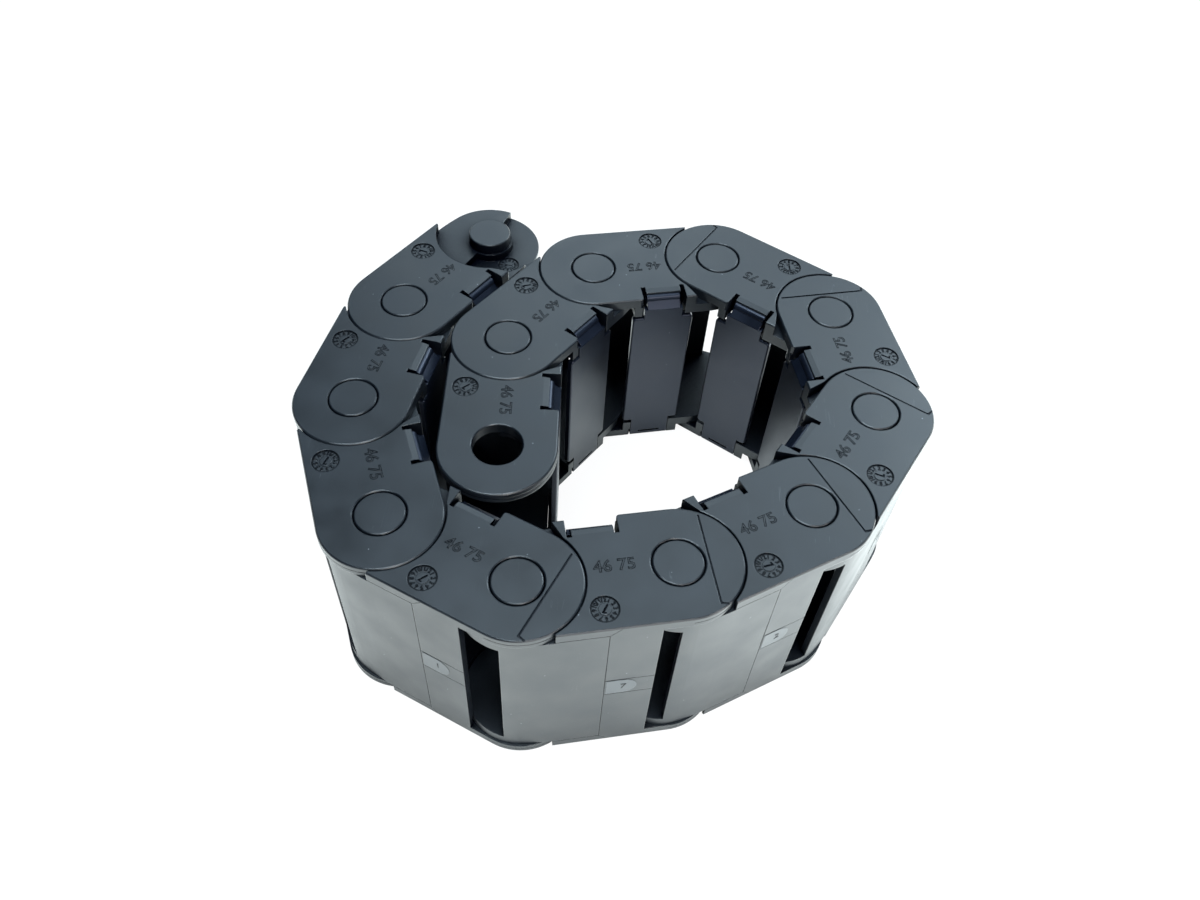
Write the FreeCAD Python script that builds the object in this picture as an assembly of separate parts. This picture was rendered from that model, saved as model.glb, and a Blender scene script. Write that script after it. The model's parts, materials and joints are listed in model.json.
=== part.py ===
import FreeCAD, Part
import math
import os

os.makedirs("parts", exist_ok=True)

# Sizes are in millimetres and degrees. A link lies along +X from its pins to its pivot holes,
# with its lid on the +Y side, its outer panel on the -Y side and its lower side plate on Z = 0.
# Depths are measured from a side plate's outer plane towards the middle of the chain.

# The chain as it lies, from the free pin end: the middle link's heading and the turns at the pivots.
# The turn between the head's turns and the tail's follows from the gap where the coil meets itself.
MIDDLE_LINK = 7
MIDDLE_HEADING = 59.5
HEAD_TURNS = (22.3, 31.4, 44.1)
TAIL_TURNS = (17.8, 28.8, 44.4, 44.9, 44.5, 42.0, 37.4)
COIL_GAP = 1.7

# Link
PITCH = 46.0
CHAIN_WIDTH = 74.6
PLATE_HEIGHT = 37.2
PLATE_THICKNESS = 8.0
OUTER_LAYER = 3.7
LAYER_GAP = 0.3
PANEL_THICKNESS = 2.5
PLATE_EDGE = 0.4
MOULD_OVERLAP = 1.0
BEYOND = 30.0

# Pivot
PIN_RADIUS = 7.5
PIVOT_CLEARANCE = 0.35
PIVOT_EDGE = 0.3
COLLAR_WIDTH = 0.7
DISC_INSET = 0.6
DISC_CLEARANCE = 0.6
HOLE_END_SHIFT = 0.6
HOLE_END_CLEARANCE = 0.3
TIP_CLEARANCE = 0.2
HORN_CLEARANCE = 0.15
SHOULDER_EDGE = 0.15

# Stop: a dog under the hole end runs in a recess of the next link's disc
STOP_ANGLE = 45.0
STOP_PLAY = 1.0
DOG_HEIGHT = 2.7
RECESS_START = 4.5
RECESS_END = 193.5
DOG_CLEARANCE = 0.3

# Shape of the pin end of the outer layer
SHOULDER_START = 8.3
HORN_ANGLE = 39.8
HORN_TIP = 12.0
LEDGE_START = 6.0

# Outer panel
PANEL_SHORT_OF_HOLE = 7.7
TUCK_THICKNESS = 2.4
TUCK_GAP = 0.6
INNER_LAYER_SHORT_OF_HOLE = 12.0

# Lid and its seats
LID_PAST_MIDDLE = 0.4
LID_WIDTH = 21.8
LID_THICKNESS = 2.0
LID_END_CLEARANCE = 1.3
LID_EDGE = 0.4
LID_CORNER = 1.2
NECK_CLEARANCE = 0.8
TONGUE_CLEARANCE = 0.3
TONGUE_THICKNESS = 1.3
TONGUE_OUTSET = 0.95
TONGUE_SLOPE = 45.0
BEAD_RADIUS = 1.6
BEAD_CLEARANCE = 0.08
BEAD_DEPTH = 2.8
BEAD_INSET = 0.2
NOTCH_WIDTH = 15.4
NOTCH_DEPTH = 3.6
NOTCH_CORNER = 0.8
SLIT_WIDTH = 1.5
SLIT_LENGTH = 2.7
LIP_BEVEL = 2.0
LIP_DROP = 0.4
FOOT_CLEARANCE = 0.25
FOOT_END_CLEARANCE = 0.5
PRY_SLOT_WIDTH = 8.5
PRY_SLOT_HEIGHT = 0.8
PRY_SLOT_SUNK = 0.7
PRY_SLOT_ABOVE_END = 1.4

# Mould marks
DIAL_RADIUS = 4.15
DIAL_DEPTH = 0.4
DIAL_BEFORE_MIDDLE = 0.2
DIAL_Y = -12.0
FLOOR_DIAL_RADIUS = 3.7
FLOOR_DIAL_ANGLE = 73.0
FLOOR_DIAL_CLEARANCE = 0.2
LINE_WIDTH = 0.2
LINE_DEPTH = 0.15
PLATE_LINE_DEPTH = 0.25
RIM_LINE_DEPTH = 2.0
LINED_LINKS = range(4, 10)
CHORD_WIDTH = 0.45
CHORD_PAST_HOLE = 9.0
CHORD_TOP_INSET = 1.0
CHORD_FOOT_INSET = 1.8
CHORD_FOOT_RUN = 2.2
CHORD_FOOT_DROP = 0.5
SEAM_PAST_MIDDLE = 0.3
SEAM_DEPTH = 3.6
SEAM_RISE_RUN = 3.2
SEAM_RISE_DEPTH = 0.5
GATE_PAST_SEAM = 5.7
GATE_ABOVE_MIDDLE = 1.3
GATE_RADIUS = 4.0
GATE_RAISED = 0.06
GATE_LINES_APART = 9.0

# Worked out from the sizes above
HALF_HEIGHT = PLATE_HEIGHT / 2
PIVOT_HOLE_RADIUS = PIN_RADIUS + PIVOT_CLEARANCE
COLLAR_RADIUS = PIN_RADIUS + COLLAR_WIDTH
END_RADIUS = HALF_HEIGHT
END_CENTRE = PITCH + HOLE_END_SHIFT
TIP_RADIUS = END_RADIUS + HOLE_END_SHIFT
SHOULDER_RADIUS = TIP_RADIUS + HOLE_END_CLEARANCE
DISC_RADIUS = HALF_HEIGHT - DISC_INSET
DISC_POCKET_RADIUS = DISC_RADIUS + DISC_CLEARANCE
DISC_TOP = OUTER_LAYER + LAYER_GAP
RECESS_FLOOR = DISC_TOP + DOG_HEIGHT
RECESS_RADIUS = DISC_RADIUS + DOG_CLEARANCE
DOG_RADIUS = RECESS_RADIUS - 2 * DOG_CLEARANCE
DOG_START = RECESS_START + STOP_ANGLE + STOP_PLAY
DOG_END = RECESS_END - STOP_PLAY
PANEL_END = PITCH - PANEL_SHORT_OF_HOLE
PANEL_INNER = HALF_HEIGHT - PANEL_THICKNESS
INNER_LAYER_END = PITCH - INNER_LAYER_SHORT_OF_HOLE
TUCK_INNER = DISC_RADIUS - TUCK_THICKNESS
TUCK_ANGLE = math.degrees(math.asin((PANEL_SHORT_OF_HOLE - TUCK_GAP) / DISC_RADIUS))
BLEND_RADIUS = (SHOULDER_START**2 / DISC_INSET + HALF_HEIGHT + DISC_RADIUS) / 2
BLEND_ANGLE = math.degrees(math.atan2(SHOULDER_START, BLEND_RADIUS - HALF_HEIGHT))
LID_CENTRE = PITCH / 2 + LID_PAST_MIDDLE
NECK_WIDTH = NOTCH_WIDTH - 2 * NECK_CLEARANCE
TONGUE_WIDTH = NOTCH_WIDTH - 2 * (SLIT_WIDTH + TONGUE_CLEARANCE)
NOTCH_FLOOR = HALF_HEIGHT - NOTCH_DEPTH
NOTCH_START = LID_CENTRE - NOTCH_WIDTH / 2
NOTCH_END = LID_CENTRE + NOTCH_WIDTH / 2
BEAD_Y = NOTCH_FLOOR - BEAD_INSET
LID_INNER = HALF_HEIGHT - LID_THICKNESS
LID_TOP = PLATE_THICKNESS + LID_END_CLEARANCE
DIAL_X = PITCH / 2 - DIAL_BEFORE_MIDDLE
FLOOR_DIAL_AT = COLLAR_RADIUS + FLOOR_DIAL_CLEARANCE + FLOOR_DIAL_RADIUS
CHORD_X = PITCH + CHORD_PAST_HOLE
CHORD_REACH = math.sqrt(END_RADIUS**2 - CHORD_PAST_HOLE**2)
SEAM_X = PITCH / 2 + SEAM_PAST_MIDDLE
GATE_X = SEAM_X + GATE_PAST_SEAM
GATE_DEPTH = CHAIN_WIDTH / 2 - GATE_ABOVE_MIDDLE
UP = FreeCAD.Vector(0, 0, 1)


def polar(radius, angle, centre_x=0.0):
    """The point at a radius and an angle about a pivot on the link's centre line."""
    turn = math.radians(angle)
    return (centre_x + radius * math.cos(turn), radius * math.sin(turn))


def on_circle(radius, x, side, centre_x=0.0):
    """The point of a circle about a pivot at this X. The side is the sign of its Y."""
    return (x, math.copysign(math.sqrt(radius**2 - (x - centre_x) ** 2), side))


def outline(*steps):
    """A closed face at Z = 0 through points (x, y). A step ("arc", through, end) is an arc."""
    start = here = FreeCAD.Vector(*steps[0], 0)
    edges = []
    for step in steps[1:]:
        if step[0] == "arc":
            through, there = (FreeCAD.Vector(*p, 0) for p in step[1:])
            edges.append(Part.Arc(here, through, there).toShape())
        else:
            there = FreeCAD.Vector(*step, 0)
            edges.append(Part.makeLine(here, there))
        here = there
    if not here.isEqual(start, 1e-7):
        edges.append(Part.makeLine(here, start))
    return Part.Face(Part.Wire(edges))


def slab(face, depth_from, depth_to):
    """A face pushed through the upper side plate between two depths."""
    solid = face.extrude(UP * (depth_to - depth_from))
    solid.translate(UP * (CHAIN_WIDTH - depth_to))
    return solid


def block(x_from, x_to, y_from, y_to, depth_from, depth_to):
    corner = FreeCAD.Vector(x_from, y_from, CHAIN_WIDTH - depth_to)
    return Part.makeBox(x_to - x_from, y_to - y_from, depth_to - depth_from, corner)


def disc(radius, x, depth_from, depth_to, y=0.0):
    base = FreeCAD.Vector(x, y, CHAIN_WIDTH - depth_to)
    return Part.makeCylinder(radius, depth_to - depth_from, base)


def sector(inner, outer, x, start, end, depth_from, depth_to):
    """A ring sector about a pivot, counted counterclockwise from start to end."""
    middle = (start + end) / 2
    face = outline(
        polar(inner, start, x),
        polar(outer, start, x),
        ("arc", polar(outer, middle, x), polar(outer, end, x)),
        polar(inner, end, x),
        ("arc", polar(inner, middle, x), polar(inner, start, x)),
    )
    return slab(face, depth_from, depth_to)


def rim_edges(solid, z):
    """The solid's edges that lie in the plane at this height."""
    return [e for e in solid.Edges if abs(e.BoundBox.ZMin - z) < 1e-6 and e.BoundBox.ZLength < 1e-6]


def shoulder_edges(plate):
    """The round part of the shoulder's outer edge."""
    return [
        e
        for e in rim_edges(plate, CHAIN_WIDTH)
        if e.Curve.TypeId == "Part::GeomCircle" and abs(e.Curve.Center.x) < SHOULDER_START
    ]


def mirrored(solid):
    return solid.mirror(UP * (CHAIN_WIDTH / 2), UP)


def blend_from_panel():
    """The step of an outline that leaves the panel's plane and joins the disc, tangent to both."""
    half = math.radians(BLEND_ANGLE / 2)
    middle = (
        SHOULDER_START - BLEND_RADIUS * math.sin(half),
        BLEND_RADIUS * (1 - math.cos(half)) - HALF_HEIGHT,
    )
    return middle, polar(DISC_RADIUS, 270 - BLEND_ANGLE)


def plate_blank():
    """The side plate's whole plan at full thickness, with its outer edge eased."""
    blend_middle, blend_end = blend_from_panel()
    face = outline(
        (SHOULDER_START, -HALF_HEIGHT),
        (END_CENTRE, -HALF_HEIGHT),
        ("arc", (END_CENTRE + END_RADIUS, 0), (END_CENTRE, HALF_HEIGHT)),
        (LEDGE_START, HALF_HEIGHT),
        (0, DISC_RADIUS),
        ("arc", (-DISC_RADIUS, 0), blend_end),
        ("arc", blend_middle, (SHOULDER_START, -HALF_HEIGHT)),
    )
    blank = slab(face, 0, PLATE_THICKNESS)
    return blank.makeChamfer(PLATE_EDGE, rim_edges(blank, CHAIN_WIDTH))


def end_reach(angle):
    """How far the hole end's rim lies from its pivot at this angle from the link's direction."""
    turn = math.radians(angle)
    return HOLE_END_SHIFT * math.cos(turn) + math.sqrt(
        END_RADIUS**2 - (HOLE_END_SHIFT * math.sin(turn)) ** 2
    )


def pin_end_space():
    """What the next link's hole end needs above the disc. Its gap narrows towards the horn."""
    horn_root = polar(end_reach(HORN_ANGLE) + HORN_CLEARANCE, HORN_ANGLE)
    horn_tip = (HORN_TIP, HALF_HEIGHT)
    slope = (horn_tip[0] - horn_root[0]) / (horn_tip[1] - horn_root[1])
    past_tip = (horn_tip[0] + slope * MOULD_OVERLAP, HALF_HEIGHT + MOULD_OVERLAP)
    face = outline(
        (-BEYOND, -BEYOND),
        (SHOULDER_START, -BEYOND),
        on_circle(SHOULDER_RADIUS, SHOULDER_START, -1),
        ("arc", (TIP_RADIUS + TIP_CLEARANCE, 0), horn_root),
        past_tip,
        (-BEYOND, HALF_HEIGHT + MOULD_OVERLAP),
    )
    return slab(face, -MOULD_OVERLAP, DISC_TOP)


def hole_end_space():
    """What the next link's disc needs under the outer layer."""
    pocket_top = on_circle(DISC_POCKET_RADIUS, INNER_LAYER_END, 1, PITCH)
    pocket_bottom = on_circle(DISC_POCKET_RADIUS, PANEL_END, -1, PITCH)
    face = outline(
        (INNER_LAYER_END, BEYOND),
        pocket_top,
        ("arc", (PITCH - DISC_POCKET_RADIUS, 0), pocket_bottom),
        (PANEL_END, -BEYOND),
        (PITCH + BEYOND, -BEYOND),
        (PITCH + BEYOND, BEYOND),
    )
    return slab(face, OUTER_LAYER, PLATE_THICKNESS + LAYER_GAP)


def lid_notch():
    """The notch that takes an end of the lid."""
    notch = block(
        NOTCH_START, NOTCH_END, NOTCH_FLOOR, HALF_HEIGHT + MOULD_OVERLAP, -MOULD_OVERLAP, LID_TOP
    )
    corner = outline(
        (NOTCH_END, HALF_HEIGHT - NOTCH_CORNER),
        (NOTCH_END + NOTCH_CORNER, HALF_HEIGHT),
        (NOTCH_END, HALF_HEIGHT + NOTCH_CORNER),
    )
    return notch.fuse(slab(corner, -MOULD_OVERLAP, OUTER_LAYER))


def along_lid(points, width):
    """A prism along the link with this (y, depth) section, centred on the lid."""
    start = LID_CENTRE - width / 2
    corners = [FreeCAD.Vector(start, y, CHAIN_WIDTH - depth) for y, depth in points]
    face = Part.Face(Part.makePolygon(corners + corners[:1]))
    return face.extrude(FreeCAD.Vector(width, 0, 0))


def bead(radius, length):
    """The round bar about which the lid swings, along the link."""
    base = FreeCAD.Vector(LID_CENTRE - length / 2, BEAD_Y, CHAIN_WIDTH - BEAD_DEPTH)
    return Part.makeCylinder(radius, length, base, FreeCAD.Vector(1, 0, 0))


def lip_bevel():
    """The slope on the snap lip's outer edge."""
    past = NOTCH_FLOOR + MOULD_OVERLAP
    past_drop = LIP_DROP * (1 + MOULD_OVERLAP / LIP_BEVEL)
    start = NOTCH_FLOOR - LIP_BEVEL
    section = [(start, 0), (past, past_drop), (past, -MOULD_OVERLAP), (start, -MOULD_OVERLAP)]
    return along_lid(section, NOTCH_WIDTH - 2 * SLIT_WIDTH)


def snap_seat():
    """The groove for the bead, under a bevelled lip that a slit on each side sets free."""
    slit_floor = NOTCH_FLOOR - SLIT_LENGTH
    slits = [
        block(x, x + SLIT_WIDTH, slit_floor, HALF_HEIGHT, -MOULD_OVERLAP, LID_TOP)
        for x in (NOTCH_START, NOTCH_END - SLIT_WIDTH)
    ]
    return slits + [bead(BEAD_RADIUS + BEAD_CLEARANCE, NOTCH_WIDTH), lip_bevel()]


def chord_line():
    """The fine line that a mould insert leaves across the hole end, with a foot out to the rim."""
    half = CHORD_WIDTH / 2
    top = CHORD_REACH - CHORD_TOP_INSET
    foot = CHORD_FOOT_INSET - CHORD_REACH
    foot_end = (CHORD_X + CHORD_FOOT_RUN, foot - CHORD_FOOT_DROP)
    face = outline(
        (CHORD_X - half, top),
        (CHORD_X - half, foot - half),
        (foot_end[0], foot_end[1] - half),
        (foot_end[0], foot_end[1] + half),
        (CHORD_X + half, foot + half),
        (CHORD_X + half, top),
    )
    return slab(face, -MOULD_OVERLAP, PLATE_LINE_DEPTH)


def plate_marks():
    """The seats of the two date dials, and the parting line round the hole end's rim."""
    half = LINE_WIDTH / 2
    return [
        disc(DIAL_RADIUS, DIAL_X, -MOULD_OVERLAP, DIAL_DEPTH, DIAL_Y),
        slab(floor_dial(), RECESS_FLOOR - MOULD_OVERLAP, RECESS_FLOOR + DIAL_DEPTH),
        sector(
            END_RADIUS - LINE_DEPTH,
            END_RADIUS + MOULD_OVERLAP,
            END_CENTRE,
            -90,
            90,
            RIM_LINE_DEPTH - half,
            RIM_LINE_DEPTH + half,
        ),
    ]


def floor_dial():
    """The outline of the date dial that lies in the floor of the recess."""
    x, y = polar(FLOOR_DIAL_AT, FLOOR_DIAL_ANGLE)
    left, right = (x - FLOOR_DIAL_RADIUS, y), (x + FLOOR_DIAL_RADIUS, y)
    return outline(
        left,
        ("arc", (x, y - FLOOR_DIAL_RADIUS), right),
        ("arc", (x, y + FLOOR_DIAL_RADIUS), left),
    )


def side_plate():
    """The upper side plate before the lid's seat: hole end with its dog, disc end with its pin."""
    hole_top = Part.makeCone(
        PIVOT_HOLE_RADIUS,
        PIVOT_HOLE_RADIUS + 2 * PIVOT_EDGE,
        2 * PIVOT_EDGE,
        FreeCAD.Vector(PITCH, 0, CHAIN_WIDTH - PIVOT_EDGE),
    )
    pin = disc(PIN_RADIUS, 0, 0, PLATE_THICKNESS)
    pin = pin.makeChamfer(PIVOT_EDGE, rim_edges(pin, CHAIN_WIDTH))
    plate = plate_blank().cut([pin_end_space(), hole_end_space()])
    plate = plate.makeChamfer(SHOULDER_EDGE, shoulder_edges(plate))
    dog = sector(
        COLLAR_RADIUS + DOG_CLEARANCE,
        DOG_RADIUS,
        PITCH,
        DOG_START,
        DOG_END,
        OUTER_LAYER - MOULD_OVERLAP,
        OUTER_LAYER + DOG_HEIGHT,
    )
    recess = sector(
        COLLAR_RADIUS, RECESS_RADIUS, 0, RECESS_START, RECESS_END, DISC_TOP, RECESS_FLOOR
    )
    hole = disc(PIVOT_HOLE_RADIUS, PITCH, -MOULD_OVERLAP, PLATE_THICKNESS)
    plate = plate.fuse(dog).cut([recess, hole, hole_top, lid_notch()] + plate_marks())
    return plate.fuse(pin)


def outer_panel():
    """The wall that joins the side plates. At the pin end it curves in, flush with the discs."""
    end_angle = 270 - TUCK_ANGLE
    outer_middle = 270 - (BLEND_ANGLE + TUCK_ANGLE) / 2
    inner_middle = 270 - TUCK_ANGLE / 2
    blend_middle, blend_end = blend_from_panel()
    face = outline(
        (SHOULDER_START, -HALF_HEIGHT),
        ("arc", blend_middle, blend_end),
        ("arc", polar(DISC_RADIUS, outer_middle), polar(DISC_RADIUS, end_angle)),
        polar(TUCK_INNER, end_angle),
        ("arc", polar(TUCK_INNER, inner_middle), (0, -TUCK_INNER)),
        (SHOULDER_START, -PANEL_INNER),
        (PANEL_END, -PANEL_INNER),
        (PANEL_END, -HALF_HEIGHT),
    )
    panel_top = PLATE_THICKNESS - MOULD_OVERLAP
    return slab(face, panel_top, CHAIN_WIDTH - panel_top)


def panel_marks():
    """The parting lines of the mould on the outer panel."""
    low = -HALF_HEIGHT - MOULD_OVERLAP
    high = -HALF_HEIGHT + LINE_DEPTH
    half = LINE_WIDTH / 2
    upright = block(SEAM_X - half, SEAM_X + half, low, high, SEAM_DEPTH, CHAIN_WIDTH - SEAM_DEPTH)
    level = block(SHOULDER_START, SEAM_X + half, low, high, SEAM_DEPTH - half, SEAM_DEPTH + half)
    corners = [
        FreeCAD.Vector(x, low, CHAIN_WIDTH - depth)
        for x, depth in (
            (SEAM_X, SEAM_DEPTH - half),
            (SEAM_X + SEAM_RISE_RUN, SEAM_RISE_DEPTH - half),
            (SEAM_X + SEAM_RISE_RUN, SEAM_RISE_DEPTH + half),
            (SEAM_X, SEAM_DEPTH + half),
        )
    ]
    rise = Part.Face(Part.makePolygon(corners + corners[:1])).extrude(FreeCAD.Vector(0, high - low, 0))
    by_gate = [
        block(SEAM_X, PANEL_END, low, high, depth - half, depth + half)
        for depth in (GATE_DEPTH - GATE_LINES_APART / 2, GATE_DEPTH + GATE_LINES_APART / 2)
    ]
    return [upright, level, mirrored(level), rise, mirrored(rise)] + by_gate


def gate_boss():
    """The low round boss round the mould's gate."""
    base = FreeCAD.Vector(GATE_X, -HALF_HEIGHT - GATE_RAISED, CHAIN_WIDTH - GATE_DEPTH)
    return Part.makeCylinder(
        GATE_RADIUS, GATE_RAISED + MOULD_OVERLAP, base, FreeCAD.Vector(0, 1, 0)
    )


def link_body():
    """One moulded link body at its pins' pivot, heading along +X. Its lower plate has no snap seat."""
    plate = side_plate()
    body = plate.cut(snap_seat()).fuse([outer_panel(), mirrored(plate)])
    space = hole_end_space()
    panel_space = space.common(block(0, PANEL_END, -BEYOND, 0, 0, CHAIN_WIDTH))
    body = body.cut([panel_space, mirrored(panel_space)] + panel_marks()).fuse(gate_boss())
    return body.removeSplitter().Solids[0]


def hinge_end():
    """The upper end of the lid: bead, sloping tongue and neck."""
    slope = math.radians(TONGUE_SLOPE)
    inset = TONGUE_THICKNESS - TONGUE_OUTSET
    outer = (
        BEAD_Y + TONGUE_OUTSET * math.sin(slope),
        BEAD_DEPTH - TONGUE_OUTSET * math.cos(slope),
    )
    inner = (BEAD_Y - inset * math.sin(slope), BEAD_DEPTH + inset * math.cos(slope))
    outer_corner = (HALF_HEIGHT, outer[1] + (HALF_HEIGHT - outer[0]) * math.tan(slope))
    inner_corner = (LID_INNER, inner[1] + (LID_INNER - inner[0]) * math.tan(slope))
    neck_end = [(HALF_HEIGHT, LID_TOP + MOULD_OVERLAP), (LID_INNER, LID_TOP + MOULD_OVERLAP)]
    tongue = along_lid([outer, outer_corner] + neck_end + [inner_corner, inner], TONGUE_WIDTH)
    neck = along_lid([outer_corner] + neck_end + [(LID_INNER, outer_corner[1])], NECK_WIDTH)
    return [bead(BEAD_RADIUS, TONGUE_WIDTH), tongue, neck]


def lid_foot():
    """The lower end of the lid: a flush foot with the slot that a screwdriver lifts it by."""
    half_slot = PRY_SLOT_WIDTH / 2
    slot_start = FOOT_END_CLEARANCE + PRY_SLOT_ABOVE_END
    foot_inner = NOTCH_FLOOR + FOOT_CLEARANCE
    section = [
        (HALF_HEIGHT, FOOT_END_CLEARANCE),
        (HALF_HEIGHT, LID_TOP + MOULD_OVERLAP),
        (LID_INNER, LID_TOP + MOULD_OVERLAP),
        (LID_INNER, PLATE_THICKNESS),
        (foot_inner, PLATE_THICKNESS),
        (foot_inner, FOOT_END_CLEARANCE),
    ]
    foot = along_lid(section, NOTCH_WIDTH - 2 * FOOT_CLEARANCE)
    slot = block(
        LID_CENTRE - half_slot,
        LID_CENTRE + half_slot,
        HALF_HEIGHT - PRY_SLOT_SUNK,
        HALF_HEIGHT + MOULD_OVERLAP,
        slot_start,
        slot_start + PRY_SLOT_HEIGHT,
    )
    return mirrored(foot.cut(slot))


def lid_panel():
    """The flat part of the lid between the side plates, with eased outer edges."""
    half = LID_WIDTH / 2
    low, high = LID_TOP, CHAIN_WIDTH - LID_TOP
    panel = block(LID_CENTRE - half, LID_CENTRE + half, LID_INNER, HALF_HEIGHT, low, high)
    corners = [e for e in panel.Edges if e.BoundBox.YLength > LID_THICKNESS / 2]
    panel = panel.makeFillet(LID_CORNER, corners)
    face = max(panel.Faces, key=lambda f: f.CenterOfMass.y)
    return panel.makeChamfer(LID_EDGE, face.Edges)


def snap_lid():
    """One lid in the link's frame, closed."""
    lid = lid_panel().fuse(hinge_end() + [lid_foot()])
    return lid.removeSplitter().Solids[0]


def turned_on(first_heading, turns):
    """The headings of links that follow one another with these turns between them."""
    found = [first_heading]
    for turn in turns:
        found.append(found[-1] + turn)
    return found


def headings():
    """Each link's heading. The head closes on the tail until the last pin is a gap from link 1."""
    turns_to_middle = MIDDLE_LINK - len(HEAD_TURNS) - 2
    tail = turned_on(MIDDLE_HEADING - sum(TAIL_TURNS[:turns_to_middle]), TAIL_TURNS)
    to_last_pin = pin_points(tail[:-1])[-1]
    head_end = pin_points(turned_on(0, HEAD_TURNS))[-1]
    across = PLATE_HEIGHT + COIL_GAP - head_end.y
    first = math.atan2(to_last_pin.y, to_last_pin.x) + math.asin(across / to_last_pin.Length)
    return turned_on(math.degrees(first) - 180, HEAD_TURNS) + tail


def pin_points(link_headings):
    """Where each of a run of links has its pin pivot, the first at zero, and the last one's hole."""
    points = [FreeCAD.Vector(0, 0, 0)]
    for heading in link_headings:
        points.append(points[-1] + FreeCAD.Vector(*polar(PITCH, heading), 0))
    return points


def placed(solid, heading, point):
    copy = solid.copy()
    copy.rotate(FreeCAD.Vector(0, 0, 0), UP, heading)
    copy.translate(point)
    return copy


link_headings = headings()
pivots = pin_points(link_headings)
plain_body = link_body()
lined_body = plain_body.cut(chord_line()).Solids[0]
lid_shape = snap_lid()
nodes = {}
for number, (heading, pivot) in enumerate(zip(link_headings, pivots), start=1):
    body_shape = lined_body if number in LINED_LINKS else plain_body
    nodes[f"link_{number:02d}_body"] = placed(body_shape, heading, pivot)
    nodes[f"link_{number:02d}_lid"] = placed(lid_shape, heading, pivot)

# The origin is the middle of the footprint, on the plane that the chain lies on
extent = Part.makeCompound(list(nodes.values())).optimalBoundingBox(False, False)
centre = FreeCAD.Vector((extent.XMin + extent.XMax) / 2, (extent.YMin + extent.YMax) / 2, 0)
for name, shape in nodes.items():
    shape.translate(-centre)
    shape.exportStep(f"parts/{name}.step")

for number, (heading, pivot) in enumerate(zip(link_headings, pivots), start=1):
    at = pivot - centre
    print(f"link {number:2d} heading {heading:8.2f} pin at {at.x:8.3f} {at.y:8.3f}")
last = pivots[-1] - centre
print(f"free hole at {last.x:8.3f} {last.y:8.3f}")
for label, shape in (("plain body", plain_body), ("lined body", lined_body), ("lid", lid_shape)):
    print(f"{label} {shape.Volume:.0f} mm3, valid {shape.isValid()}")
print(f"extent {extent.XLength:.2f} x {extent.YLength:.2f} x {extent.ZLength:.2f}")
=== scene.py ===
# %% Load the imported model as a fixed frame
import json
import math

import bpy
from mathutils import Matrix, Vector


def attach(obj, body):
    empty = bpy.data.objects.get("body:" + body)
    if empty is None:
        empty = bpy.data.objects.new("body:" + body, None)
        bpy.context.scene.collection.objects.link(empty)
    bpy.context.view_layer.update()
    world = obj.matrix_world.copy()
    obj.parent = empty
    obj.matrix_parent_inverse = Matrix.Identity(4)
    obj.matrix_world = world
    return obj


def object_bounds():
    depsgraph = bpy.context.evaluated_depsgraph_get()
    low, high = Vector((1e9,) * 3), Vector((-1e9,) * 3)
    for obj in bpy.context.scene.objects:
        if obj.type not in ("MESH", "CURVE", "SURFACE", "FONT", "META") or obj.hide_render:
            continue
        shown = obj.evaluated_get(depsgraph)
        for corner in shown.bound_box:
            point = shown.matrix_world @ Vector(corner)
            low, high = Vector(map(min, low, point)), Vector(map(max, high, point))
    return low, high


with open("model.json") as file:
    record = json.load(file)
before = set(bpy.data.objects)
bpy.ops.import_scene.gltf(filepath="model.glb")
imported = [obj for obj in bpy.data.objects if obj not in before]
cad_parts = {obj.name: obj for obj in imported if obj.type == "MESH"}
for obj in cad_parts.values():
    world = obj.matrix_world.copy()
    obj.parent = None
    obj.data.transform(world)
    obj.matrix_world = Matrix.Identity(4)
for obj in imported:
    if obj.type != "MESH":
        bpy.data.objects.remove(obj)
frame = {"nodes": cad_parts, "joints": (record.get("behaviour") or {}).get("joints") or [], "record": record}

MM = 0.001
cad_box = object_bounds()
print("CAD box", [[round(v, 4) for v in corner] for corner in cad_box])

# %% [markdown]
# The chain is a row of twelve equal links, so every small detail is laid out once, in a link's own
# frame: +X from its pins to its pivot holes, +Y towards its lid. Typing in a place for each link
# would work too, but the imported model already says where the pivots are. Joints 2 to 12 give a
# pivot each, and the free pin and the free hole at the ends of the chain give the first and last.

# %% Where each link lies
LINK_COUNT = 12
LINKS = range(1, LINK_COUNT + 1)


def pivot_points():
    """The pivots from the free pin to the free hole, as (x, y) in metres."""
    points = {j["name"]: j["pos_m"] for j in frame["joints"]}
    points.update({m["name"]: m["pos_m"] for m in frame["record"]["mounts"]})
    names = ["free_pin_upper"] + [f"pivot_{n:02d}" for n in LINKS if n > 1] + ["free_hole_upper"]
    return [Vector(points[name][:2]) for name in names]


def link_frames():
    """For each link number, the matrix from its own frame to the scene."""
    points = pivot_points()
    frames = {}
    for number, (pin, hole) in enumerate(zip(points, points[1:]), start=1):
        along = hole - pin
        turn = Matrix.Rotation(math.atan2(along.y, along.x), 4, "Z")
        frames[number] = Matrix.Translation((pin.x, pin.y, 0)) @ turn
    return frames


LINK_FRAME = link_frames()
PITCH = (LINK_FRAME[2].translation - LINK_FRAME[1].translation).length
HEIGHT = cad_box[1][2] - cad_box[0][2]
print("Pitch", round(PITCH / MM, 2), "mm, chain width", round(HEIGHT / MM, 2), "mm")

# %% [markdown]
# The chain lies on its side and is seen from above and in front. The photograph's view was worked
# out from the thirteen round pivots, which all lie in one plane: the camera stands 311 mm from a
# point on that top plane, looks down at about 52 degrees and is rolled by a few degrees. A camera
# could be aimed with Euler angles or a constraint. It is placed here by its three axes, because
# that holds the roll in one matrix.

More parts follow.
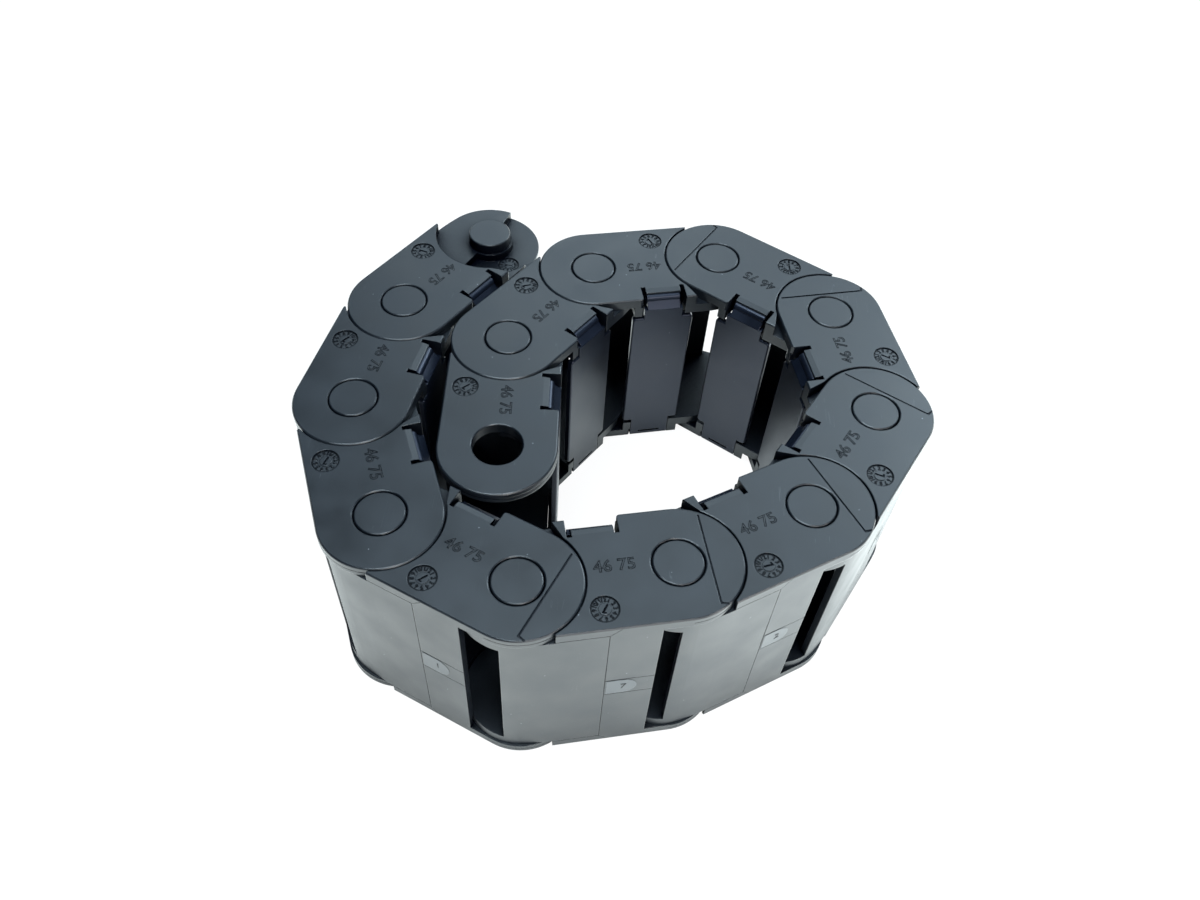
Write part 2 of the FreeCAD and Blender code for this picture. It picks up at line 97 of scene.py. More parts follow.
# %% Camera
PHOTO_WIDTH = 1200
FOCAL_PIXELS = 1013
SENSOR_MM = 36
CLIP_START = 10 * MM
LOOK_AT = Vector((-4.46, -24.11, 74.6)) * MM
CAMERA_DISTANCE = 311 * MM
CAMERA_ELEVATION = math.radians(51.58)
CAMERA_ROLL = math.radians(4.52)


def camera_axes(elevation, roll):
    """The camera's right, up and backward directions, looking along +Y and down."""
    level = Vector((1, 0, 0))
    upright = Vector((0, math.sin(elevation), math.cos(elevation)))
    right = math.cos(roll) * level + math.sin(roll) * upright
    up = math.cos(roll) * upright - math.sin(roll) * level
    return right, up, right.cross(up)


right, up, back = camera_axes(CAMERA_ELEVATION, CAMERA_ROLL)
camera_data = bpy.data.cameras.new("camera")
camera_data.sensor_width = SENSOR_MM
camera_data.lens = camera_data.sensor_width * FOCAL_PIXELS / PHOTO_WIDTH
camera_data.clip_start = CLIP_START
camera = bpy.data.objects.new("camera", camera_data)
bpy.context.scene.collection.objects.link(camera)
camera.matrix_world = Matrix.Translation(LOOK_AT + back * CAMERA_DISTANCE) @ Matrix(
    (right, up, back)
).transposed().to_4x4()
bpy.context.scene.camera = camera
print("Lens", round(camera_data.lens, 2), "mm, camera at", [round(v, 4) for v in camera.location])

# %% [markdown]
# Materials are built from nodes. That can be done by hand in the shader editor, but written out
# here it can be read and repeated. One function turns hex colours into the linear values that the
# shaders work in, and one adds a node with its settings and its links in a single call. In that
# call a name stands for a property or a socket, and a number for a socket's place in the row.

# %% Colour and node helpers
WHITE = "ffffff"
SAMPLES = 4


def linear(hex_colour):
    """An sRGB hex colour such as "2a2d30" as linear red, green, blue and alpha."""
    channels = [int(hex_colour[i : i + 2], 16) / 255 for i in (0, 2, 4)]
    return [c / 12.92 if c <= 0.04045 else ((c + 0.055) / 1.055) ** 2.4 for c in channels] + [1.0]


def add(tree, kind, settings=None, **links):
    """A new node. Settings are properties or socket values, links are socket=output."""
    node = tree.nodes.new(kind)
    for key, value in (settings or {}).items():
        if isinstance(key, str) and hasattr(node, key):
            setattr(node, key, value)
        else:
            node.inputs[key].default_value = value
    for key, output in links.items():
        socket = int(key[1:]) if key[1:].isdigit() else key.replace("_", " ")
        tree.links.new(output, node.inputs[socket])
    return node


def new_material(name):
    """An empty node material and its output node."""
    material = bpy.data.materials.new(name)
    material.use_nodes = True
    tree = material.node_tree
    tree.nodes.clear()
    return material, tree, tree.nodes.new("ShaderNodeOutputMaterial")


print("Middle grey 808080 is", round(linear("808080")[0], 3), "in linear light")

# %% [markdown]
# The floor is a large pale sheet of paper. The camera sees it as pure white, as in the photograph,
# but it still takes the object's soft shadow: for camera rays a plain white emission is mixed with
# the lit paper. In the photograph the paper is brighter than white can show, and the satin outer
# panels mirror it, darker towards their foot, where the chain shades the paper, and brighter
# towards the right. Stronger lamps would do the same to the paper, but they would also bleach the
# plastic. So for reflections alone the emission is stronger, rises along X and is dimmed where the
# chain stands close over the paper.

# %% Floor
FLOOR_SIZE = 6.0
PAPER_COLOUR = "f4f4f4"
SEEN_SHARE = 0.88  # of the plain white, where the camera sees the paper
SEEN_WHITE = 1.06
FAR_WHITE = 1.2
NEAR, FAR = 0.4, 1.2  # metres from the middle, between which the seen white rises
MIRRORED_SHARE = 0.6
MIRRORED_TINT = "f3fcfa"
DIM_X, BRIGHT_X = -0.1, 0.8
MIRRORED_DIM, MIRRORED_BRIGHT = 3.9, 13.3
SHADE_REACH = 60 * MM
DEEP_SHADE = 0.28  # of the sky still open, where the mirrored paper is black


def mirrored_light(tree, place):
    """How bright the paper is for reflections: rising along X, dim close to the chain."""
    across = add(tree, "ShaderNodeSeparateXYZ", {}, Vector=place)
    mirrored = add(tree, "ShaderNodeMapRange",
                   {"From Min": DIM_X, "From Max": BRIGHT_X,
                    "To Min": MIRRORED_DIM, "To Max": MIRRORED_BRIGHT},
                   Value=across.outputs["X"])
    shade = add(tree, "ShaderNodeAmbientOcclusion", {"samples": SAMPLES, "Distance": SHADE_REACH})
    unshaded = add(tree, "ShaderNodeMapRange", {"From Min": DEEP_SHADE}, Value=shade.outputs["AO"])
    return add(tree, "ShaderNodeMath", {"operation": "MULTIPLY"}, _0=mirrored.outputs[0],
               _1=unshaded.outputs[0]).outputs[0]


def seen_light(tree, place):
    """How bright the paper is for the camera: rising with distance, so that no horizon shows."""
    away = add(tree, "ShaderNodeVectorMath", {"operation": "LENGTH"}, _0=place)
    return add(tree, "ShaderNodeMapRange",
               {"From Min": NEAR, "From Max": FAR, "To Min": SEEN_WHITE, "To Max": FAR_WHITE},
               Value=away.outputs["Value"]).outputs[0]


def flat_share(tree, path, glossy):
    """The share of the emission in the mix, which differs by the kind of ray."""
    seen = add(tree, "ShaderNodeMath", {"operation": "MAXIMUM"},
               _0=path.outputs["Is Camera Ray"], _1=path.outputs["Is Transmission Ray"])
    seen_share = add(tree, "ShaderNodeMath", {"operation": "MULTIPLY", 1: SEEN_SHARE},
                     _0=seen.outputs[0])
    return add(tree, "ShaderNodeMath", {"operation": "MULTIPLY_ADD", 1: MIRRORED_SHARE},
               _0=glossy, _2=seen_share.outputs[0]).outputs[0]


def paper():
    """Lit white paper, mixed with an emission that depends on the kind of ray."""
    material, tree, output = new_material("white_paper_floor")
    lit = add(tree, "ShaderNodeBsdfDiffuse", {"Color": linear(PAPER_COLOUR)})
    path = add(tree, "ShaderNodeLightPath")
    glossy = path.outputs["Is Glossy Ray"]
    place = add(tree, "ShaderNodeTexCoord").outputs["Object"]
    strength = add(tree, "ShaderNodeMapRange", {}, Value=glossy,
                   To_Min=seen_light(tree, place), To_Max=mirrored_light(tree, place))
    tint = add(tree, "ShaderNodeMix",
               {"data_type": "RGBA", 6: linear(WHITE), 7: linear(MIRRORED_TINT)}, _0=glossy)
    flat = add(tree, "ShaderNodeEmission", {}, Color=tint.outputs[2], Strength=strength.outputs[0])
    mix = add(tree, "ShaderNodeMixShader", {}, _0=flat_share(tree, path, glossy),
              _1=lit.outputs[0], _2=flat.outputs[0])
    tree.links.new(mix.outputs[0], output.inputs["Surface"])
    return material


bpy.ops.object.select_all(action="DESELECT")
bpy.ops.mesh.primitive_plane_add(size=FLOOR_SIZE, location=(0, 0, 0))
floor = bpy.context.object
floor.name = "floor"
floor.data.materials.append(paper())
print("Floor", [round(v, 2) for v in floor.dimensions])

# %% [markdown]
# The light comes from soft boxes. Two white ones in front light the outer panels, more the further
# these face to the right. Three cooler ones behind the chain are mirrored in the side plates on
# top, most on the right, and one above fills in. A bright sky would be simpler, but it would reach
# into every slot. So the room itself is almost dark, which leaves slots and hollows black, and only
# the camera sees it white.

# %% World and lamps
ROOM_COLOUR = "b4c4ff"
ROOM_STRENGTH = 0.02
DAYLIGHT = "dbf0fc"
LIT_POINT = Vector((0, 0, 30 * MM))


def soft_world():
    """A white background for the camera, and a dim bluish room for everything else."""
    world = bpy.data.worlds.new("dim_studio")
    bpy.context.scene.world = world
    world.use_nodes = True
    tree = world.node_tree
    tree.nodes.clear()
    output = tree.nodes.new("ShaderNodeOutputWorld")
    path = add(tree, "ShaderNodeLightPath")
    room = add(tree, "ShaderNodeBackground",
               {"Color": linear(ROOM_COLOUR), "Strength": ROOM_STRENGTH})
    white = add(tree, "ShaderNodeBackground", {"Color": linear(WHITE), "Strength": 1.0})
    mix = add(tree, "ShaderNodeMixShader", {}, _0=path.outputs["Is Camera Ray"],
              _1=room.outputs[0], _2=white.outputs[0])
    tree.links.new(mix.outputs[0], output.inputs["Surface"])


def lamp(name, place, size, watts, colour=WHITE):
    """A square soft box that faces the middle of the coil."""
    data = bpy.data.lights.new(name, "AREA")
    data.shape = "SQUARE"
    data.size = size
    data.energy = watts
    data.color = linear(colour)[:3]
    soft_box = bpy.data.objects.new(name, data)
    soft_box.location = place
    soft_box.rotation_euler = (LIT_POINT - Vector(place)).to_track_quat("-Z", "Y").to_euler()
    bpy.context.scene.collection.objects.link(soft_box)
    print("Lamp", name, round(Vector(place).length, 2), "m away,", watts, "W")


soft_world()
lamp("front_right_box", (0.82, -0.58, 0.32), 0.3, 4.0)
lamp("front_box", (0.35, -0.95, 0.75), 0.3, 6.5)
lamp("back_right_box", (0.75, 0.75, 0.75), 0.5, 8.5, DAYLIGHT)
lamp("back_box", (0.35, 0.85, 0.95), 0.9, 5.9, DAYLIGHT)
lamp("back_left_box", (-0.17, 1.0, 0.8), 0.5, 2.6, DAYLIGHT)
lamp("top_box", (-0.1, -0.1, 1.2), 0.6, 16.5, DAYLIGHT)

# %% [markdown]
# Glass-filled polyamide comes out of the mould satin black, with a fine grain, a few pale specks
# and hairline scratches from handling. A painted picture could show these, but procedural patterns
# stay sharp at any distance and need no unwrapping. They are sized in real millimetres: at Object
# coordinates one unit is a metre, so N cells per metre are 1000 / N millimetres wide.

# %% Specks and scratches
SPECK_MM = 5.0
SPECK_SIZE = 0.035  # of a cell
SPECKS_LEFT_OUT = 0.45  # share of the cells without a speck
SCRATCH_MM = 6.0
SCRATCH_ACROSS_MM = 1.0
SCRATCH_LENGTHS = 40  # how far the pattern is drawn out along a scratch
SCRATCH_DEPTHS = 4
SCRATCH_TURN = 35
SCRATCH_HALF_WIDTH = 0.006  # of the noise value's range
SCRATCHES_ABOVE = 0.7


def per_metre(millimetres):
    """The pattern scale that gives cells of this size."""
    return 1 / (millimetres * MM)


def specks(tree, place):
    """1 in small sparse dots, 0 elsewhere."""
    cells = add(tree, "ShaderNodeTexVoronoi", {"Scale": per_metre(SPECK_MM)}, Vector=place)
    near = add(tree, "ShaderNodeMath", {"operation": "LESS_THAN", 1: SPECK_SIZE},
               _0=cells.outputs["Distance"])
    split = add(tree, "ShaderNodeSeparateColor", {}, Color=cells.outputs["Color"])
    chosen = add(tree, "ShaderNodeMath", {"operation": "GREATER_THAN", 1: SPECKS_LEFT_OUT},
                 _0=split.outputs[0])
    return add(tree, "ShaderNodeMath", {"operation": "MULTIPLY"}, _0=near.outputs[0],
               _1=chosen.outputs[0]).outputs[0]


def scratches(tree, place, turn):
    """1 along rare straight hairlines at this turn about +Z, 0 elsewhere."""
    drawn_out = add(tree, "ShaderNodeMapping",
                    {"Rotation": (0, 0, math.radians(turn)),
                     "Scale": (1, 1 / SCRATCH_LENGTHS, 1 / SCRATCH_DEPTHS)}, Vector=place)
    field = add(tree, "ShaderNodeTexNoise",
                {"Scale": per_metre(SCRATCH_ACROSS_MM), "Detail": 0.0},
                Vector=drawn_out.outputs[0])
    middle = add(tree, "ShaderNodeMath", {"operation": "SUBTRACT", 1: 0.5}, _0=field.outputs[0])
    size = add(tree, "ShaderNodeMath", {"operation": "ABSOLUTE"}, _0=middle.outputs[0])
    line = add(tree, "ShaderNodeMath", {"operation": "LESS_THAN", 1: SCRATCH_HALF_WIDTH},
               _0=size.outputs[0])
    gaps = add(tree, "ShaderNodeTexNoise", {"Scale": per_metre(SCRATCH_MM), "Detail": 0.0},
               Vector=place)
    kept = add(tree, "ShaderNodeMath", {"operation": "GREATER_THAN", 1: SCRATCHES_ABOVE},
               _0=gaps.outputs[0])
    return add(tree, "ShaderNodeMath", {"operation": "MULTIPLY"}, _0=line.outputs[0],
               _1=kept.outputs[0]).outputs[0]


print("Specks", SPECK_MM * SPECK_SIZE, "mm in radius, one in", SPECK_MM, "mm cells")

# %% [markdown]
# Two things depend on the shape. Deep hollows are painted with shade: the ambient occlusion node measures
# how open a place is to the piece itself, and where it is closed in, the base colour turns to a near-black
# painted shade and the reflections fade, so that deep hollows turn black. Moulded edges are slightly round
# and catch a thin line of light. A bevel modifier would change the imported meshes, so a bevel node rounds
# them for the shader only.

# %% Hollows and edges
HOLLOW_MM = 100.0
HOLLOW_BELOW, OPEN_ABOVE = 0.5, 0.95
# Painted shade: the near-black colour that deep hollows take.
HOLLOW_SHADE_COLOUR = "02030a"
EDGE_MM = 0.4
EDGE_ROUGHNESS = 0.07
EDGE_FLAT, EDGE_ROUND = 1.0, 0.9


def openness(tree):
    """0 deep inside the piece's own hollows, where painted shade takes over, 1 on its open faces."""
    seen = add(tree, "ShaderNodeAmbientOcclusion",
               {"samples": SAMPLES, "only_local": True, "Distance": HOLLOW_MM * MM})
    return add(tree, "ShaderNodeMapRange", {"From Min": HOLLOW_BELOW, "From Max": OPEN_ABOVE},
               Value=seen.outputs["AO"]).outputs[0]


def turned(tree, edge):
    """How far the bevel node turns the surface: 1 on flat faces, less beside an edge."""
    face = add(tree, "ShaderNodeNewGeometry")
    return add(tree, "ShaderNodeVectorMath", {"operation": "DOT_PRODUCT"}, _0=edge.outputs[0],
               _1=face.outputs["True Normal"]).outputs["Value"]


print("Edges look", EDGE_MM, "mm round, hollows are looked for within", HOLLOW_MM, "mm")

# %% [markdown]
# One function makes every finish of the plastic, so that all of them share one grain. Each is a Principled
# shader between two nearly black tones. The links are satin. The lids are a little glossier and mirror less:
# their darker, bluer colour, their bluish reflection tint and the lower shine are painted shade, as they lie
# in the shade inside the coil. The gate marks mirror more, which makes them paler. Fine marks are narrower
# than a pixel and their shade would blur away, so they carry painted shade: a darker colour and less shine.
# The outlined figures carry a milder painted shade of the same kind.

# %% Polyamide
GRAIN_MM = 0.35
GRAIN_STRENGTH = 0.12
GRAIN_DEPTH = 0.1 * MM
CLOUD_MM = 14.0
NOISE_LOW, NOISE_HIGH = 0.3, 0.7  # most of a noise texture's values lie between these
GLOSS_SPREAD = 0.05
MARK_COLOUR = "a8b0b8"
MARK_STRENGTH = 0.5
SCRATCH_SHARE = 0.12
POLYAMIDE_IOR = 1.53


def plastic_colour(tree, place, cloud, dark, pale, speckled):
    """The cloudy base colour with its specks and scratches."""
    ramp = add(tree, "ShaderNodeMapRange", {"From Min": NOISE_LOW, "From Max": NOISE_HIGH},
               Value=cloud)
    tone = add(tree, "ShaderNodeMix", {"data_type": "RGBA", 6: linear(dark), 7: linear(pale)},
               _0=ramp.outputs[0])
    lines = add(tree, "ShaderNodeMath", {"operation": "MULTIPLY", 1: SCRATCH_SHARE},
                _0=scratches(tree, place, SCRATCH_TURN))
    marks = add(tree, "ShaderNodeMath", {"operation": "MAXIMUM"}, _0=specks(tree, place),
                _1=lines.outputs[0])
    share = add(tree, "ShaderNodeMath", {"operation": "MULTIPLY", 1: MARK_STRENGTH * speckled},
                _0=marks.outputs[0])
    return add(tree, "ShaderNodeMix", {"data_type": "RGBA", 7: linear(MARK_COLOUR)},
               _0=share.outputs[0], _6=tone.outputs[2]).outputs[2]


def plastic_roughness(tree, cloud, edge, rough):
    """The cloudy roughness, much lower on the rounded edges."""
    gloss = add(tree, "ShaderNodeMapRange",
                {"From Min": NOISE_LOW, "From Max": NOISE_HIGH,
                 "To Min": rough - GLOSS_SPREAD, "To Max": rough + GLOSS_SPREAD}, Value=cloud)
    rubbed = add(tree, "ShaderNodeMapRange", {"From Min": EDGE_FLAT, "From Max": EDGE_ROUND},
                 Value=turned(tree, edge))
    return add(tree, "ShaderNodeMix", {3: EDGE_ROUGHNESS}, _0=rubbed.outputs[0],
               _2=gloss.outputs[0]).outputs[0]


def polyamide(name, dark, pale, rough, speckled=1.0, shine=0.5, tint=WHITE):
    """Satin moulded plastic between two tones. Speckled is the share of the specks' strength."""
    material, tree, output = new_material(name)
    place = add(tree, "ShaderNodeTexCoord").outputs["Object"]
    cloud = add(tree, "ShaderNodeTexNoise", {"Scale": per_metre(CLOUD_MM), "Detail": 3.0},
                Vector=place).outputs[0]
    grain = add(tree, "ShaderNodeTexNoise", {"Scale": per_metre(GRAIN_MM), "Detail": 2.0},
                Vector=place)
    edge = add(tree, "ShaderNodeBevel", {"samples": SAMPLES, "Radius": EDGE_MM * MM})
    bump = add(tree, "ShaderNodeBump", {"Strength": GRAIN_STRENGTH, "Distance": GRAIN_DEPTH},
               Height=grain.outputs[0], Normal=edge.outputs[0])
    open_share = openness(tree)
    # Painted shade: deep in the hollows the base colour turns near black and the reflections fade.
    base = add(tree, "ShaderNodeMix", {"data_type": "RGBA", 6: linear(HOLLOW_SHADE_COLOUR)},
               _0=open_share, _7=plastic_colour(tree, place, cloud, dark, pale, speckled))
    specular = add(tree, "ShaderNodeMath", {"operation": "MULTIPLY", 1: shine}, _0=open_share)
    shader = add(tree, "ShaderNodeBsdfPrincipled",
                 {"IOR": POLYAMIDE_IOR, "Specular Tint": linear(tint)},
                 Base_Color=base.outputs[2], Roughness=plastic_roughness(tree, cloud, edge, rough),
                 Normal=bump.outputs[0], Specular_IOR_Level=specular.outputs[0])
    tree.links.new(shader.outputs[0], output.inputs["Surface"])
    return material


link_plastic = polyamide("moulded_polyamide_link", "0f141a", "151b22", 0.40)
# Painted shade: the lids are the links' plastic, made darker, bluer and less shiny, with a bluish reflection
# tint, for the shade inside the coil.
shaded_lid_plastic = polyamide("moulded_polyamide_lid_painted_shade", "0b0f18", "111722", 0.33,
                        speckled=0.4, shine=0.38, tint="dfe6ff")
gate_plastic = polyamide("moulded_polyamide_gate_scar", "30363c", "383f45", 0.40,
                         speckled=0.0, shine=0.7)
# Painted shade for fine marks: dial numbers, the ring round the dial, the slot floor and the cavity figures.
painted_shade_plastic = polyamide("moulded_polyamide_fine_marks_painted_shade", "04060a", "080b10", 0.45,
                         speckled=0.0, shine=0.16)
# Painted shade: the figures are darker and less shiny than the plate they stand on.
shaded_figure_plastic = polyamide("moulded_polyamide_figures_painted_shade", "080b10", "0c1016", 0.40,
                           speckled=0.0, shine=0.30)
print("Materials", [m.name for m in bpy.data.materials])

# %% Finish of the links and the lids


def give(name, material):
    """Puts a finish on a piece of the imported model."""
    slots = frame["nodes"][name].data.materials
    slots.clear()
    slots.append(material)


for number in LINKS:
    give(f"link_{number:02d}_body", link_plastic)
    give(f"link_{number:02d}_lid", shaded_lid_plastic)
print("Finished", 2 * len(LINKS), "pieces of the packed model")

# %% [markdown]
# Small raised details are modelled once, flat on the origin and facing up, and then copied. They could be
# modelled on each link, but twelve equal links want twelve equal details. Each copy gets a mesh of its own
# that is moved into place inside the mesh, so that every object stays at the origin. The copy rides on its
# link.

# %% Copies that ride on a link


def joined(pieces, name):
    """Several mesh objects as one, with their places kept in the mesh."""
    bpy.ops.object.select_all(action="DESELECT")
    for piece in pieces:
        piece.select_set(True)
    bpy.context.view_layer.objects.active = pieces[0]
    bpy.ops.object.transform_apply(location=True, rotation=True, scale=True)
    if len(pieces) > 1:
        bpy.ops.object.join()
    whole = bpy.context.view_layer.objects.active
    whole.name = name
    return whole


def painted(piece, material):
    """The piece, with this finish alone."""
    piece.data.materials.clear()
    piece.data.materials.append(material)
    return piece


def copy_to(master, name, number, place):
    """A copy of the master piece at a place in a link's frame, riding on that link."""
    piece = bpy.data.objects.new(name, master.data.copy())
    bpy.context.scene.collection.objects.link(piece)
    piece.data.transform(LINK_FRAME[number] @ place)
    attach(piece, f"link_{number:02d}")
    return piece


# %% Text and round discs
DISC_VERTICES = 48


def text_mesh(words, size, raised, at=(0, 0), turn=0.0):
    """Flat raised digits, centred at a place and turned about +Z."""
    bpy.ops.object.select_all(action="DESELECT")
    bpy.ops.object.text_add(location=(at[0], at[1], 0), rotation=(0, 0, turn))
    text = bpy.context.object
    text.data.body = words
    text.data.size = size
    text.data.align_x = "CENTER"
    text.data.align_y = "CENTER"
    text.data.extrude = raised
    text.data.resolution_u = 2
    bpy.ops.object.convert(target="MESH")
    return bpy.context.object


def cylinder(radius, low, high, vertices=DISC_VERTICES):
    """An upright disc between two heights."""
    bpy.ops.object.select_all(action="DESELECT")
    bpy.ops.mesh.primitive_cylinder_add(
        radius=radius, depth=high - low, vertices=vertices, location=(0, 0, (low + high) / 2)
    )
    return bpy.context.object


# %% Flat outlines and cuts


def cut(target, tool):
    """Takes the tool's shape out of the target and deletes the tool."""
    bpy.ops.object.select_all(action="DESELECT")
    target.select_set(True)
    bpy.context.view_layer.objects.active = target
    modifier = target.modifiers.new("cut", "BOOLEAN")
    modifier.operation = "DIFFERENCE"
    modifier.object = tool
    bpy.ops.object.modifier_apply(modifier=modifier.name)
    bpy.data.objects.remove(tool)


def prism(points, low, high):
    """A flat outline in millimetres pushed up between two heights."""
    mesh = bpy.data.meshes.new("prism")
    mesh.from_pydata([(x * MM, y * MM, low) for x, y in points], [], [range(len(points))])
    piece = bpy.data.objects.new("prism", mesh)
    bpy.context.scene.collection.objects.link(piece)
    bpy.ops.object.select_all(action="DESELECT")
    piece.select_set(True)
    bpy.context.view_layer.objects.active = piece
    bpy.ops.object.mode_set(mode="EDIT")
    bpy.ops.mesh.select_all(action="SELECT")
    bpy.ops.mesh.extrude_region_move(TRANSFORM_OT_translate={"value": (0, 0, high - low)})
    bpy.ops.mesh.select_all(action="SELECT")
    bpy.ops.mesh.normals_make_consistent(inside=False)
    bpy.ops.object.mode_set(mode="OBJECT")
    return piece


# %% [markdown]
# A date dial is a small mould insert that leaves a round recess with twelve month numbers and an arrow in
# the middle. The recess is part of the imported model. Its floor gets a low disc here, with a dark ring of
# painted shade round it where the recess wall shades the floor, the raised numbers, dark with painted shade,
# and a hub with a hooked slot whose floor is painted shade. The slot is cut with a boolean modifier. A bump
# could fake all this, but only real edges catch the light at a slant.

# %% The ring of the date dial
MONTHS = 12
DIAL_DISC_RADIUS = 3.75 * MM
DIAL_SHADE_RING_RADIUS = 4.05 * MM
DIAL_SHADE_RING_FACE = 0.03 * MM
DIAL_FACE = 0.05 * MM
NUMBER_RING = 2.9 * MM
NUMBER_SIZE = 1.8 * MM
NUMBER_RAISED = 0.08 * MM


def date_ring():
    """The disc with its twelve numbers, whose underside lies on the recess floor, ringed with painted shade.
    """
    pieces = [
        painted(cylinder(DIAL_DISC_RADIUS, 0, DIAL_FACE), link_plastic),
        # Painted shade: a dark ring at the foot of the recess wall.
        painted(cylinder(DIAL_SHADE_RING_RADIUS, 0, DIAL_SHADE_RING_FACE), painted_shade_plastic),
    ]
    for month in range(1, MONTHS + 1):
        angle = math.radians(90 - 360 / MONTHS * month)
        at = (NUMBER_RING * math.cos(angle), NUMBER_RING * math.sin(angle))
        number = text_mesh(str(month), NUMBER_SIZE, NUMBER_RAISED, at, angle - math.pi / 2)
        number.location.z = DIAL_FACE
        pieces.append(painted(number, painted_shade_plastic))
    return joined(pieces, "date_ring")


ring_master = date_ring()
print("Date ring", [round(v / MM, 2) for v in ring_master.dimensions], "mm")

# %% The hub of the date dial
HUB_RADIUS = 1.9 * MM
HUB_FACE = 0.3 * MM
HUB_VERTICES = 40
SLOT_FLOOR = HUB_FACE / 5
SLOT_SHADE_TOP = HUB_FACE / 3
HOOK = [(-0.24, -1.5), (0.95, -1.1), (0.8, -0.7), (0.24, -0.9), (0.24, 1.6), (-0.24, 1.6)]


def hub():
    """The middle of the dial, with the hooked slot that a screwdriver turns it by, floored with a plate of
    painted shade.
    """
    middle = painted(cylinder(HUB_RADIUS, 0, HUB_FACE, HUB_VERTICES), link_plastic)
    cut(middle, prism(HOOK, SLOT_FLOOR, HUB_FACE * 2))
    # Painted shade: a dark plate on the floor of the slot.
    slot_shade = painted(prism(HOOK, SLOT_FLOOR, SLOT_SHADE_TOP), painted_shade_plastic)
    return joined([middle, slot_shade], "hub")


hub_master = hub()
print("Hub", [round(v / MM, 2) for v in hub_master.dimensions], "mm")

# %% [markdown]
# Every link has a dial in both side plates, and link 1 has one more beside each free pin, down in
# the floor of the recess. The hub of each dial is turned its own way, as a mould maker leaves it.

# %% Place the date dials
DIAL_SUNK = 0.4 * MM
DIAL_AT = (PITCH / 2 - 0.2 * MM, -12.0 * MM)
ARROW_TURNS = (15, 60, 50, -28, -35, 80, 12, -40, 35, 20, 55, 40)
FLOOR_DIAL_SCALE = 0.88
FLOOR_DIAL_AT = (12.1 * MM, math.radians(73))  # distance from the pin, and direction
FLOOR_DIAL_TURN = 30
RECESS_DEPTH = 6.7 * MM
SIDES = (("upper", True), ("lower", False))
FLIP = Matrix.Rotation(math.pi, 4, "X")


def place_dial(number, at, sunk, upper, turn, scale, label):
    """One dial: its ring and hub on the floor of a recess in the upper or lower side plate."""
    above = Matrix.Translation((*at, HEIGHT - sunk))
    seat = above if upper else Matrix.Translation((*at, sunk)) @ FLIP
    seat = seat @ Matrix.Scale(scale, 4)
    spin = Matrix.Rotation(math.radians(turn), 4, "Z")
    copy_to(ring_master, f"date_ring_{label}", number, seat)
    copy_to(hub_master, f"dial_hub_{label}", number, seat @ spin)


for number in LINKS:
    for side, upper in SIDES:
        place_dial(number, DIAL_AT, DIAL_SUNK, upper, ARROW_TURNS[number - 1], 1.0,
                   f"{number:02d}_{side}")
radius, angle = FLOOR_DIAL_AT
floor_at = (radius * math.cos(angle), radius * math.sin(angle))
for side, upper in SIDES:
    place_dial(1, floor_at, RECESS_DEPTH + DIAL_SUNK, upper, FLOOR_DIAL_TURN, FLOOR_DIAL_SCALE,
               f"recess_{side}")
for master in (ring_master, hub_master):
    bpy.data.objects.remove(master)

# %% [markdown]
# Each side plate has a row of raised figures between the dial and the pivot hole: the pitch and the overall
# width in whole millimetres. Filled digits would stand too heavy on the plate, so only their outlines are
# raised: a text curve without fill and with a round bevel. Their darker finish is painted shade, which
# stands in for the shade of the fine relief.

# %% Outlined figures on the side plates
FIGURES_AT = (27.8 * MM, 1.3 * MM)
FIGURES_SIZE = 5.4 * MM
STROKE = 0.14 * MM


def outlined_figures(words):
    """A row of digits drawn as thin raised outlines."""
    bpy.ops.object.select_all(action="DESELECT")
    bpy.ops.object.text_add(location=(0, 0, 0))
    text = bpy.context.object
    text.data.body = words
    text.data.size = FIGURES_SIZE
    text.data.align_x = "CENTER"
    text.data.align_y = "CENTER"
    text.data.fill_mode = "NONE"
    text.data.bevel_depth = STROKE
    text.data.bevel_resolution = 1
    text.data.resolution_u = 3
    bpy.ops.object.convert(target="MESH")
    return joined([painted(bpy.context.object, shaded_figure_plastic)], "figures")


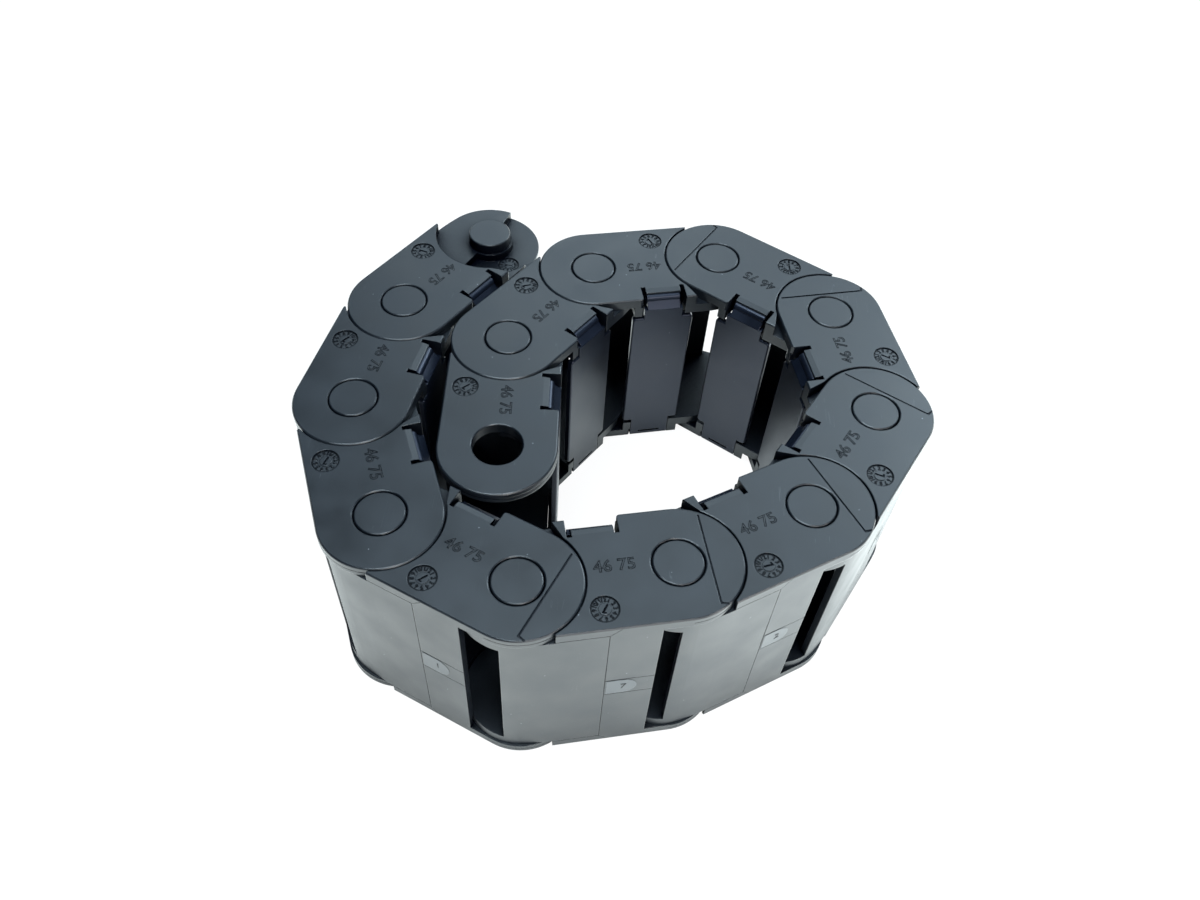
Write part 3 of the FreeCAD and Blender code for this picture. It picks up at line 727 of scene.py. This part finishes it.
figures_master = outlined_figures(f"{PITCH / MM:.0f} {HEIGHT / MM:.0f}")
for number in LINKS:
    over = Matrix.Translation((*FIGURES_AT, HEIGHT))
    under = Matrix.Translation((*FIGURES_AT, 0)) @ FLIP
    copy_to(figures_master, f"figures_{number:02d}_upper", number, over)
    copy_to(figures_master, f"figures_{number:02d}_lower", number, under)
print("Figures", [round(v / MM, 1) for v in figures_master.dimensions], "mm")
bpy.data.objects.remove(figures_master)

# %% [markdown]
# The plastic entered the mould on each outer panel, through an insert that is rounded at one end.
# Its face came out paler than the rest, and has a figure for the mould cavity. It could be painted
# on by a mask in the panel's material. A plate of 0.02 mm is simpler and has a clean outline.

# %% Gate marks on the outer panels
GATE_AT = (29.0 * MM, -18.66 * MM, 38.6 * MM)
SCAR_START = -5.2
SCAR_RADIUS = 4.1
SCAR_RAISED = 0.02 * MM
CAVITY_FIGURE_SIZE = 4.0 * MM
CAVITY_FIGURE_RAISED = 0.1 * MM
CAVITIES = (7, 2, 7, 1, 7, 2, 7, 4, 1, 7, 2, 4)
OUTWARD = Matrix.Rotation(math.pi / 2, 4, "X")


def scar():
    """A thin pale plate, straight at the parting line and round at the other end."""
    arc = [math.radians(a) for a in range(-90, 91, 10)]
    round_end = [(SCAR_RADIUS * math.cos(a), SCAR_RADIUS * math.sin(a)) for a in arc]
    outline = [(SCAR_START, -SCAR_RADIUS)] + round_end + [(SCAR_START, SCAR_RADIUS)]
    return joined([painted(prism(outline, -SCAR_RAISED, SCAR_RAISED), gate_plastic)], "scar")


scar_master = scar()
seat = Matrix.Translation(GATE_AT) @ OUTWARD
for number in LINKS:
    copy_to(scar_master, f"gate_scar_{number:02d}", number, seat)
    # The cavity figure is dark with painted shade.
    digit = text_mesh(str(CAVITIES[number - 1]), CAVITY_FIGURE_SIZE, CAVITY_FIGURE_RAISED)
    figure = joined([painted(digit, painted_shade_plastic)], "figure")
    copy_to(figure, f"cavity_figure_{number:02d}", number, seat)
    bpy.data.objects.remove(figure)
bpy.data.objects.remove(scar_master)

# %% [markdown]
# The Standard view shows the colours as they were mixed above.

# %% View settings
bpy.context.scene.view_settings.view_transform = "Standard"
